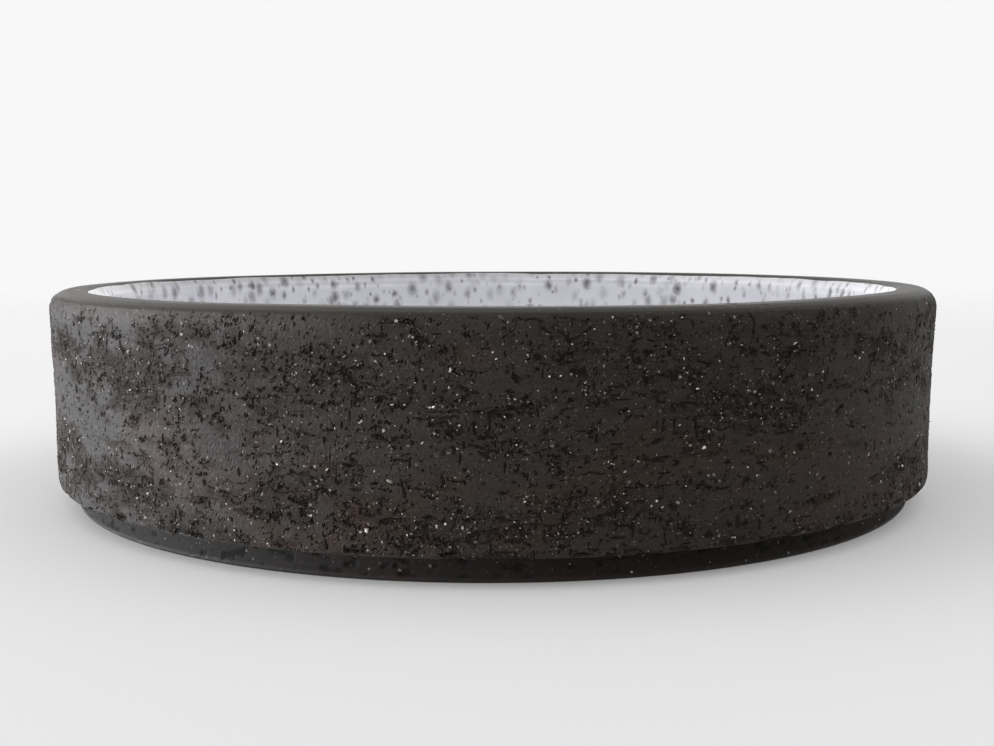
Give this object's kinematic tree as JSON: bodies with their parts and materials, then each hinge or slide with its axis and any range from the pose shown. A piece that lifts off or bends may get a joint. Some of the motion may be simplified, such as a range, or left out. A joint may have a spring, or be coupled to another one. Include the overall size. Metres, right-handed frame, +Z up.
{
  "type": "ikebana suiban",
  "caption": "Shallow round stoneware flower dish with a torn dark outer wall, speckled white glaze inside and a loose needle-point stem holder that lifts out.",
  "frame": {"origin": "centre of the foot, on the plane that the dish stands on", "axes": "+Z up along the axis of the thrown form; -Y faces the viewer of the picture"},
  "size_m": [0.2502, 0.2502, 0.058],
  "materials": {
    "black_stoneware": "raw unglazed black stoneware with pale grog, torn and matte",
    "speckled_glaze": "glossy bluish white glaze with soft grey iron speckles",
    "cast_weight": "dull grey casting",
    "brass_pins": "drawn brass wire, slightly tarnished, with ground points",
    "rubber_ring": "matte black rubber"
  },
  "bodies": {
    "dish": {"stoneware_body": "black_stoneware", "glaze_lining": "speckled_glaze"},
    "kenzan": {"kenzan_base": "cast_weight", "kenzan_pins": "brass_pins", "kenzan_rubber_ring": "rubber_ring"}
  },
  "joints": [
    {"name": "kenzan_lift", "type": "slide", "parent": "dish", "child": "kenzan", "axis": [0, 0, 1], "range_m": [0, 0.07]}
  ]
}
